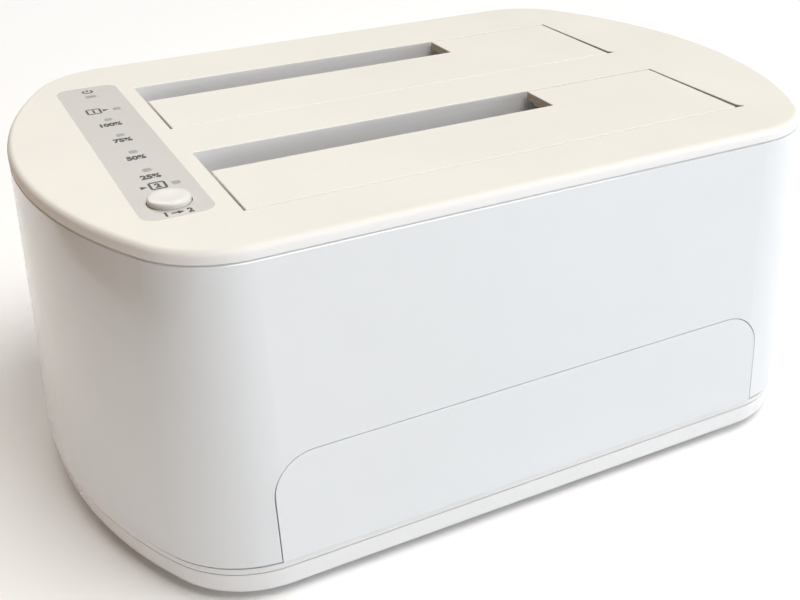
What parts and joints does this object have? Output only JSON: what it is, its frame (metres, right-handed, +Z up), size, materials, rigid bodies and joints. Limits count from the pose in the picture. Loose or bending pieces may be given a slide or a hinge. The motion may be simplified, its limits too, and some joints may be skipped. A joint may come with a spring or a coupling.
{
  "type": "drive duplicator",
  "caption": "White desktop drive duplicator with top-loading bays under sprung L-shaped flaps, an indicator strip with a copy button, and sockets on the back.",
  "frame": {"origin": "on the resting plane under the rubber feet, at the middle of the housing", "axes": "+X along the length, from the indicator strip to the flaps' right ends; +Y to the back with the sockets; +Z up"},
  "size_m": [0.162, 0.112, 0.069],
  "materials": {
    "cover_white": "fine matte, cream white",
    "shell_white": "gloss, cool white",
    "base_white": "satin white",
    "well_grey": "matte light grey",
    "spring_steel": "drawn wire",
    "pin_steel": "ground rod",
    "socket_black": "moulded black",
    "contact_gold": "plated",
    "board_green": "solder mask",
    "chip_black": "moulded package",
    "ferrite_grey": "ferrite block",
    "can_metal": "drawn can",
    "lamp_clear": "clear resin",
    "guide_clear": "clear polycarbonate",
    "plate_silver": "silver-grey satin film",
    "button_white": "gloss white",
    "switch_black": "moulded black",
    "shell_steel": "tinned steel can",
    "ribbon_grey": "flat cable",
    "header_white": "moulded nylon",
    "lead_black": "insulated wire",
    "foot_rubber": "soft black pad",
    "screw_steel": "zinc plated"
  },
  "bodies": {
    "housing": {"base_screws": "screw_steel", "base_tray": "base_white", "board_screws": "screw_steel", "bridge_chip": "chip_black", "capacitors": "can_metal", "clone_switch": "switch_black", "front_drive_socket": "socket_black", "front_drive_well": "well_grey", "front_flap_spring": "spring_steel", "front_hinge_pin": "pin_steel", "front_panel": "shell_white", "front_socket_contacts": "contact_gold", "indicator_board": "board_green", "indicator_lights": "lamp_clear", "indicator_plate": "plate_silver", "light_guide": "guide_clear", "main_board": "board_green", "memory_chips": "chip_black", "power_inductors": "ferrite_grey", "power_jack": "switch_black", "power_jack_pin": "pin_steel", "power_switch": "switch_black", "rear_drive_socket": "socket_black", "rear_drive_well": "well_grey", "rear_flap_spring": "spring_steel", "rear_hinge_pin": "pin_steel", "rear_socket_contacts": "contact_gold", "ribbon_cable": "ribbon_grey", "ribbon_headers": "header_white", "rubber_feet": "foot_rubber", "side_shell": "shell_white", "strip_screws": "screw_steel", "switch_leads": "lead_black", "switch_terminals": "screw_steel", "top_cover": "cover_white", "usb_contacts": "header_white", "usb_socket": "shell_steel", "voltage_regulators": "chip_black", "well_screws": "screw_steel"},
    "front_flap": {"front_flap": "cover_white"},
    "rear_flap": {"rear_flap": "cover_white"},
    "clone_button": {"clone_button": "button_white", "clone_switch_plunger": "button_white"},
    "power_rocker": {"power_rocker": "switch_black"}
  },
  "joints": [
    {"name": "front_flap_hinge", "type": "hinge", "parent": "housing", "child": "front_flap", "pos_m": [0, -0.04085, 0.064], "axis": [-1, 0, 0], "range_deg": [0, 88], "stiffness_Nm_per_rad": 0.002, "springref_deg": -57.3, "deforming": ["front_flap_spring"]},
    {"name": "rear_flap_hinge", "type": "hinge", "parent": "housing", "child": "rear_flap", "pos_m": [0, 0.0029, 0.064], "axis": [-1, 0, 0], "range_deg": [0, 88], "stiffness_Nm_per_rad": 0.002, "springref_deg": -57.3, "deforming": ["rear_flap_spring"]},
    {"name": "clone_button_press", "type": "slide", "parent": "housing", "child": "clone_button", "axis": [0, 0, -1], "range_m": [0, 0.0005], "stiffness_N_per_m": 1000, "springref_m": -0.0003},
    {"name": "power_rocker_tip", "type": "hinge", "parent": "housing", "child": "power_rocker", "pos_m": [-0.026, 0.0504, 0.024], "axis": [0, 0, 1], "range_deg": [-18, 0]}
  ]
}
